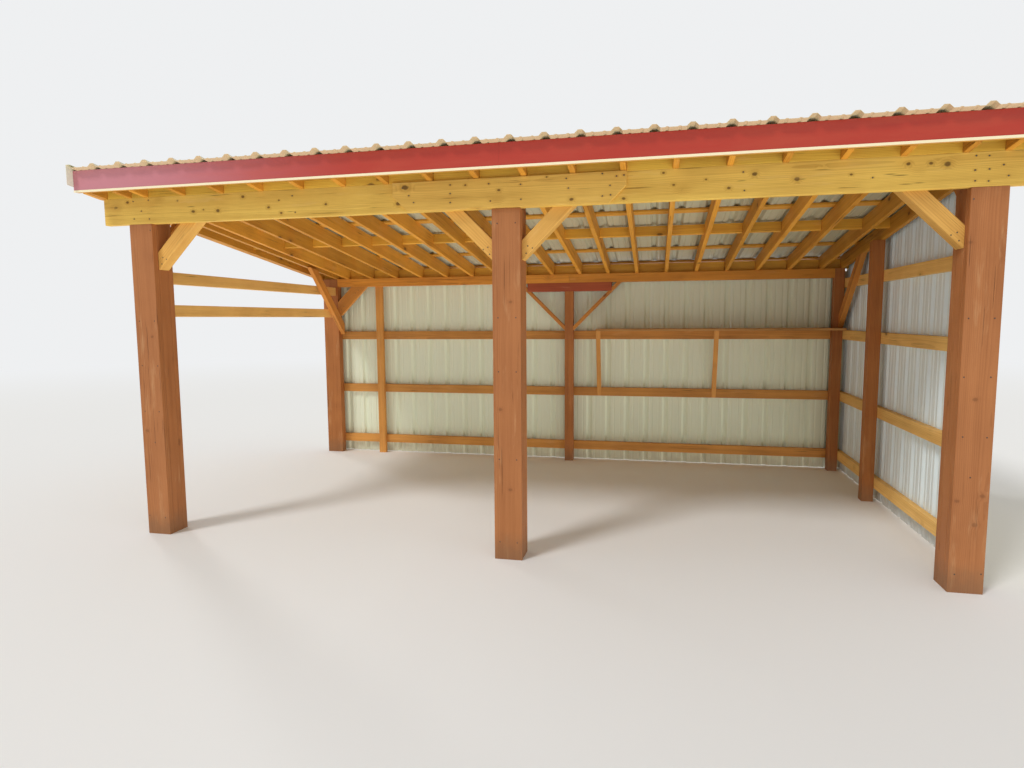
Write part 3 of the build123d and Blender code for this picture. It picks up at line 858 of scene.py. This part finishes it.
# %% Turned heads
nail_profile = [(0.0048, -0.0010), (0.0048, 0.0004), (0.0036, 0.0012)]
washer_profile = [(0.0085, -0.0004), (0.0085, 0.0010), (0.0056, 0.0022)]
hex_profile = [(0.0048, 0.0018), (0.0048, 0.0062), (0.0038, 0.0070)]
head_sides = 12
flat_of_hexagon = math.cos(math.pi / 6)


def turned(work, spot, outward, profile):
    """Adds one head to a bmesh, with its axis along outward. A hexagon has every other side pulled in."""
    lift = outward.normalized()
    level = lift.orthogonal().normalized()
    side = lift.cross(level)
    turn = random.uniform(0, math.tau)
    pull = flat_of_hexagon if profile is hex_profile else 1.0
    rings = []
    for radius, height in profile:
        ring = []
        for i in range(head_sides):
            reach = radius * (pull if i % 2 else 1.0)
            angle = turn + math.tau * i / head_sides
            rim = level * math.cos(angle) * reach + side * math.sin(angle) * reach
            ring.append(work.verts.new(spot + rim + lift * height))
        rings.append(ring)
    for low, high in zip(rings, rings[1:]):
        for i in range(head_sides):
            j = (i + 1) % head_sides
            work.faces.new((low[i], low[j], high[j], high[i]))
    work.faces.new(rings[-1])
    work.faces.new(reversed(rings[0]))


def fasteners(name, spots, profiles, material):
    """One mesh with a head at each pair of place and outward direction."""
    work = bmesh.new()
    for spot, outward in spots:
        for profile in profiles:
            turned(work, Vector(spot), Vector(outward), profile)
    piece = new_piece(name, work, material)
    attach(piece, "root")
    print(name, len(spots))


print("nail head", round(2000 * nail_profile[0][0], 1), "mm, washer", 2000 * washer_profile[0][0], "mm")

# %% Small metal
small_relief = 0.0003


def metal(name, colour, worn, metallic, rough):
    """Small steel, dull or painted, with darker patches where it is worn or rusted."""
    steel = new_material(name)
    patch = steel.noise(steel.place(), 160.0, 3.0, 0.6)
    wear = steel.step(patch, 0.48, 0.66)
    return steel.finish(
        patch, small_relief, Base_Color=steel.mix(colour, worn, wear), Metallic=(1.0 - wear) * metallic,
        Roughness=wear * 0.3 + rough,
    )


nail_steel = metal("nail steel", paint(92, 84, 78), paint(64, 40, 28), metallic=0.8, rough=0.45)
screw_paint = metal("screw paint", paint(222, 206, 168), paint(120, 104, 84), metallic=0.1, rough=0.4)
print("small metals:", nail_steel.name, "and", screw_paint.name)

# %% [markdown]
# ### Where the nails go
#
# Nails in the header, the splice board and the posts come from the lists above. Those in the braces and the
# open end's rails aren't landmarks, so they take their place from the frame: a few near a board's end,
# counted from its own corner. If a board moved in the CAD model, its nails would follow.

# %% Nails in the timber
forward = (0.0, -1.0, 0.0)
leftward = (-1.0, 0.0, 0.0)
brace_nails = ((0.030, 0.045), (0.042, 0.095), (0.075, 0.080))
rear_brace_nails = ((0.045, 0.075), (0.085, 0.120), (0.250, 0.290), (0.290, 0.325))
rail_height = 0.102
rail_front_nails = (0.025, 0.055)
rail_back_nail = 0.030
rail_nail_rise = 0.028

splice_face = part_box("header_splice_board")[0].y
brace_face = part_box("front_left_brace")[0].y
rear_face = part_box("rear_left_brace")[0].y
nails = [((x, front_face, height), forward) for x, height in header_nails + post_nails]
nails += [((x, splice_face, height), forward) for x, height in splice_nails]

for node, hand in (
    ("front_left_brace", 1), ("front_centre_left_brace", -1),
    ("front_centre_right_brace", 1), ("front_right_brace", -1),
):
    low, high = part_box(node)
    foot = low.x if hand > 0 else high.x
    for along, above in brace_nails:
        nails.append(((foot + hand * along, brace_face, low.z + above), forward))

low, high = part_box("rear_left_brace")
for along, above in rear_brace_nails:
    nails.append(((low.x + along, rear_face, low.z + above), forward))

low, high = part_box("left_girts")
rail_columns = [low.y + inset for inset in rail_front_nails] + [high.y - rail_back_nail]
for level in (low.z + rail_height / 2, high.z - rail_height / 2):
    for y in rail_columns:
        for rise in (-rail_nail_rise, rail_nail_rise):
            nails.append(((low.x, y, level + rise), leftward))
fasteners("nail_heads", nails, [nail_profile], nail_steel)

# %% [markdown]
# ### Where the screws go
#
# A screw stands in the flat pan beside a rib, wherever a purlin or a girt runs behind the sheet to take it.
# So the screws are a grid: ribs one way, rows of timber the other. The roof falls toward the back, so each
# row lies lower than the one before it, and all of them lie over the thickness of rafter and purlin.

# %% Screws in the roof
rib_pitch = 0.2286
roof_rib = 0.081
beside_rib = 0.050
sheet_top = 0.0016
hairline = 0.0006
rafter_depth = 0.140
purlin_depth = 0.019
roof_pitch = math.radians(7.33)
slope = math.tan(roof_pitch)
roof_normal = (0.0, slope, 1.0)
header_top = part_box("front_header_left")[1].z
over_rafters = (rafter_depth + purlin_depth) / math.cos(roof_pitch) + hairline + sheet_top
eaves_row = -0.1464
first_row = 0.1041
row_pitch = 0.690
row_count = 6
purlin_rows = [eaves_row] + [first_row + row_pitch * i for i in range(row_count)]
roof_ribs = range(-14, 15)

roof_spots = []
for setback in purlin_rows:
    level = header_top - slope * setback + over_rafters
    for i in roof_ribs:
        x = roof_rib + rib_pitch * i + beside_rib
        roof_spots.append(((x, front_face + setback, level), roof_normal))
fasteners("roof_screws", roof_spots, [washer_profile, hex_profile], screw_paint)

# %% Screws in the walls
wall_rib = 0.005
girt_levels = (0.181, 0.851, 1.541)
top_girt_level = 2.111
back_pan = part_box("rear_girts")[1].y + hairline + sheet_top
end_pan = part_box("right_girts")[1].x + hairline + sheet_top
back_ribs = range(-14, 13)
end_ribs = range(1, 15)

wall_spots = []
for level in girt_levels:
    for i in back_ribs:
        x = wall_rib + rib_pitch * i + beside_rib
        wall_spots.append(((x, back_pan, level), backward))
for level in (*girt_levels, top_girt_level):
    for i in end_ribs:
        y = front_face + wall_rib + rib_pitch * i + beside_rib
        wall_spots.append(((end_pan, y, level), rightward))
fasteners("wall_screws", wall_spots, [washer_profile, hex_profile], screw_paint)

# %% [markdown]
# ## Floor
#
# The shed stands on a plain pale floor. Its edge would cut a hard horizon behind the shed, so far away the
# floor turns into the background's own colour. A lamp will shine up through it, for the light that bright
# ground throws under a roof, so the floor casts no shadow of its own, but it still shows the shed's.

# %% A floor that melts into the background
floor_radius = 60.0
floor_sides = 96
fade_start = 9.0
fade_end = 26.0
floor_grey = (0.86, 0.86, 0.85)
background = (0.86, 0.87, 0.88)

pale = new_material("pale floor")
near = pale.add("BsdfDiffuse", {}, {"Color": floor_grey})
far = pale.add("Emission", {}, {"Color": background, "Strength": 1.0})
faded = pale.step(pale.length(pale.place()), fade_start, fade_end)
pale.add("OutputMaterial", {}, {"Surface": pale.add("MixShader", {}, {0: faded, 1: near, 2: far})})

disc = bmesh.new()
bmesh.ops.create_circle(disc, cap_ends=True, segments=floor_sides, radius=floor_radius)
floor = new_piece("floor", disc, pale.owner)
floor.visible_shadow = False
floor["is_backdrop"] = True
print("floor radius", floor_radius)

# %% [markdown]
# ## Light
#
# The real shed stands in hard sun, but its shadows and glare belong to that day and not to the shed. One
# broad, soft sun and an even sky light it at a level where a colour looks as it was written. Two more lamps
# fill what those leave dark: one from behind, and one from below for the light off the ground. The camera
# and mirroring paint see the plain background in place of the sky, which would be too dim a white.

# %% Sky
sky_level = 0.56
sky_white = (1.0, 0.99, 0.97)

world = bpy.data.worlds.new("studio sky")
bpy.context.scene.world = world
sky = Recipe(world)
lighting = sky.add("Background", {}, {"Color": sky_white, "Strength": sky_level})
seen = sky.add("Background", {}, {"Color": background, "Strength": 1.0})
camera_ray = sky.add("LightPath", out="Is Camera Ray")
mirrored_ray = sky.add("LightPath", out="Is Glossy Ray")
chosen = sky.add("MixShader", {}, {0: camera_ray.larger(mirrored_ray), 1: lighting, 2: seen})
sky.add("OutputWorld", {}, {"Surface": chosen})
print("sky level", sky_level)

# %% Lamps
sun_level = 1.3
back_level = 0.6
bounce_level = 1.9


def far_lamp(name, toward_lamp, level, spread):
    """A far lamp in a direction. spread is the angle it fills, so a wide one has soft shadows."""
    lamp_data = bpy.data.lights.new(name, "SUN")
    lamp_data.energy = level
    lamp_data.angle = math.radians(spread)
    lamp = bpy.data.objects.new(name, lamp_data)
    lamp.rotation_euler = Vector(toward_lamp).to_track_quat("Z", "Y").to_euler()
    bpy.context.scene.collection.objects.link(lamp)


far_lamp("soft sun", toward_lamp=(-0.70, -0.90, 1.20), level=sun_level, spread=14)
far_lamp("light from behind", toward_lamp=(-1.00, 0.80, 0.60), level=back_level, spread=10)
far_lamp("light off the ground", toward_lamp=(0.35, -0.50, -0.80), level=bounce_level, spread=70)
print("sun", sun_level, "behind", back_level, "off the ground", bounce_level)

# %% [markdown]
# ## Camera
#
# The camera stands where the photograph was taken from: in front of the right bay, turned a little to the
# left and tilted down. Its place and its turn were found from the straight lines of the photograph, so they
# aren't round numbers. We build its three axes as vectors, because three stacked rotations are easy to get
# wrong.

# %% Camera
photo_width = 1024
focal_pixels = 649.5
# The camera's place from the middle of the front posts' face on the ground, and its turns in radians
camera_offset = Vector((1.018, -4.458, 1.742))
turn_left = 0.2169
tilt_down = 0.0999
roll = -0.0071

view = Vector((
    -math.sin(turn_left) * math.cos(tilt_down),
    math.cos(turn_left) * math.cos(tilt_down),
    -math.sin(tilt_down),
))
level_right = Vector((math.cos(turn_left), math.sin(turn_left), 0.0))
level_up = level_right.cross(view)
right = level_right * math.cos(roll) + level_up * math.sin(roll)
up = right.cross(view)

camera_data = bpy.data.cameras.new("camera")
camera_data.sensor_width = 36.0
camera_data.lens = focal_pixels / photo_width * camera_data.sensor_width
camera_data.clip_end = 200.0
camera = bpy.data.objects.new("camera", camera_data)
turn = Matrix((right, up, -view)).transposed()
camera.matrix_world = Matrix.Translation(camera_offset + Vector((0.0, front_face, 0.0))) @ turn.to_4x4()
bpy.context.scene.collection.objects.link(camera)
bpy.context.scene.camera = camera
bpy.context.scene.view_settings.view_transform = "Standard"
print("lens", round(camera_data.lens, 2), "mm")

# %% [markdown]
# ## Measure and finish
#
# The dressed shed has to stay the size of the CAD model, so both boxes are printed.

# %% Print the sizes of both boxes
sizes = {"cad": cad_box, "dressed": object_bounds()}
plain = {name: [list(map(float, corner)) for corner in box] for name, box in sizes.items()}
print(plain)
